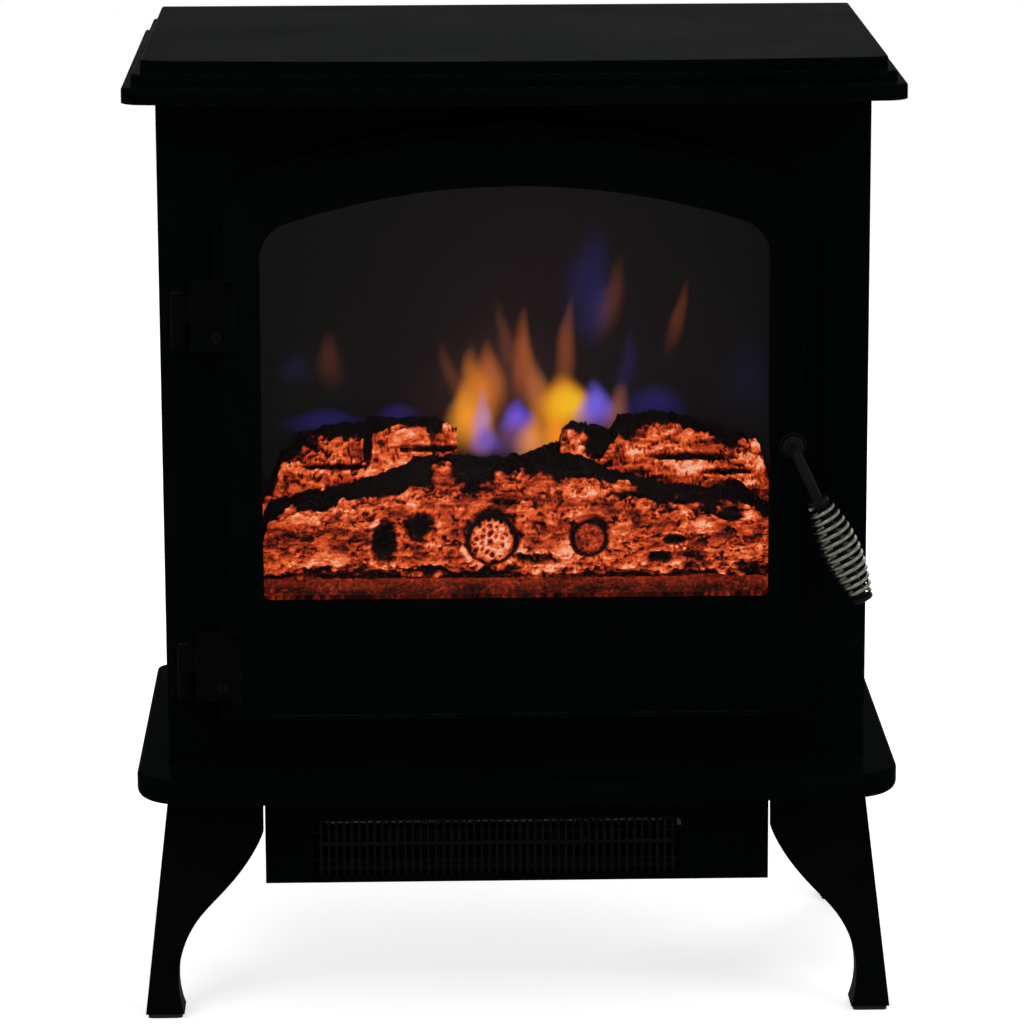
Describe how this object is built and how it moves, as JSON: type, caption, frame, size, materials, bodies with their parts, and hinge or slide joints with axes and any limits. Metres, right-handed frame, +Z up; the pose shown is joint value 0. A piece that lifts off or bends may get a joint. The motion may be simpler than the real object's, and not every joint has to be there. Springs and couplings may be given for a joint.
{
  "type": "electric fireplace",
  "caption": "Free-standing electric stove fireplace with arched glass door, spring handle, flame effect, log set and a fan heater under its base, on curved legs.",
  "frame": {"origin": "on the floor, under the middle of the top and base plates", "axes": "+Z up, front towards -Y, +X to the right seen from the front"},
  "size_m": [0.413, 0.26, 0.53],
  "materials": {
    "black_paint": "satin black powder coat, faintly grained",
    "cast_black": "black painted casting",
    "rear_sheet": "black painted sheet steel",
    "lining_black": "matt black lining",
    "foot_rubber": "matt",
    "zinc_steel": "zinc plated",
    "rod_black": "blackened steel",
    "spring_nickel": "nickel plated wire",
    "brass_bush": "plain",
    "door_glass": "clear, polished",
    "gasket_tape": "woven glass fibre tape",
    "log_resin": "painted translucent resin, lit from below",
    "ember_resin": "painted translucent resin, lit from below",
    "screen_plastic": "smoked translucent sheet",
    "circuit_board": "fibreglass board",
    "motor_steel": "plain",
    "rotor_foil": "polished foil",
    "switch_plastic": "fine texture",
    "element_fins": "plain",
    "heater_fins": "dark oxide",
    "screw_black": "black oxide"
  },
  "bodies": {
    "cabinet": {"top_plate": "black_paint", "base_plate": "black_paint", "front_frame": "black_paint", "left_side_panel": "black_paint", "right_side_panel": "black_paint", "rear_panel": "rear_sheet", "front_left_leg": "cast_black", "front_right_leg": "cast_black", "rear_left_leg": "cast_black", "rear_right_leg": "cast_black", "foot_pads": "foot_rubber", "leg_bolts": "zinc_steel", "casing_screws": "screw_black", "upper_hinge_bracket": "cast_black", "lower_hinge_bracket": "cast_black", "hinge_pins": "screw_black", "latch_strike": "zinc_steel", "left_cheek": "lining_black", "right_cheek": "lining_black", "firebox_ceiling": "lining_black", "log_tray": "rear_sheet", "ember_bed": "ember_resin", "front_log": "log_resin", "left_log": "log_resin", "right_log": "log_resin", "flame_screen": "screen_plastic", "flame_mask": "lining_black", "lamp_bracket": "rear_sheet", "flame_lamp_board": "circuit_board", "ember_lamp_board": "circuit_board", "rotor_motor": "motor_steel", "rotor_bearing": "brass_bush", "control_panel": "rear_sheet", "switch_bodies": "switch_plastic", "thermostat": "switch_plastic", "cable_gland": "switch_plastic", "heater_housing": "black_paint", "outlet_grille": "switch_plastic", "heating_element": "heater_fins", "blower_housing": "lining_black", "fan_motor": "motor_steel", "thermal_cutout": "switch_plastic"},
    "door": {"door_frame": "black_paint", "door_glass": "door_glass", "glass_gasket": "gasket_tape", "glass_clips": "zinc_steel", "door_screws": "screw_black", "upper_door_strap": "cast_black", "lower_door_strap": "cast_black", "spindle_bush": "screw_black"},
    "latch": {"latch_spindle": "rod_black", "spring_grip": "spring_nickel", "latch_tongue": "zinc_steel", "latch_nut": "zinc_steel"},
    "flame_rotor": {"flame_rotor": "rotor_foil"},
    "fan_wheel": {"fan_wheel": "element_fins"},
    "flame_rocker": {"flame_rocker": "switch_plastic"},
    "low_heat_rocker": {"low_heat_rocker": "switch_plastic"},
    "high_heat_rocker": {"high_heat_rocker": "switch_plastic"},
    "thermostat_knob": {"thermostat_knob": "switch_plastic"}
  },
  "joints": [
    {"name": "door_hinge", "type": "hinge", "parent": "cabinet", "child": "door", "pos_m": [-0.1795, -0.09, 0.295], "axis": [0, 0, -1], "range_deg": [0, 110]},
    {"name": "latch_turn", "type": "hinge", "parent": "door", "child": "latch", "pos_m": [0.1487, -0.09, 0.319], "axis": [0, 1, 0], "range_deg": [-50, 25]},
    {"name": "rotor_spin", "type": "hinge", "parent": "cabinet", "child": "flame_rotor", "pos_m": [0, 0.0395, 0.23921], "axis": [1, 0, 0], "continuous": true},
    {"name": "fan_spin", "type": "hinge", "parent": "cabinet", "child": "fan_wheel", "pos_m": [0, -0.02, 0.10846], "axis": [1, 0, 0], "continuous": true},
    {"name": "flame_switch", "type": "hinge", "parent": "cabinet", "child": "flame_rocker", "pos_m": [-0.074, -0.073, 0.19399], "axis": [1, 0, 0], "range_deg": [-16, 0]},
    {"name": "low_heat_switch", "type": "hinge", "parent": "cabinet", "child": "low_heat_rocker", "pos_m": [-0.042, -0.073, 0.19399], "axis": [1, 0, 0], "range_deg": [-16, 0]},
    {"name": "high_heat_switch", "type": "hinge", "parent": "cabinet", "child": "high_heat_rocker", "pos_m": [-0.01, -0.073, 0.19399], "axis": [1, 0, 0], "range_deg": [-16, 0]},
    {"name": "thermostat_turn", "type": "hinge", "parent": "cabinet", "child": "thermostat_knob", "pos_m": [0.066, -0.073, 0.19399], "axis": [0, 1, 0], "range_deg": [0, 270]}
  ]
}
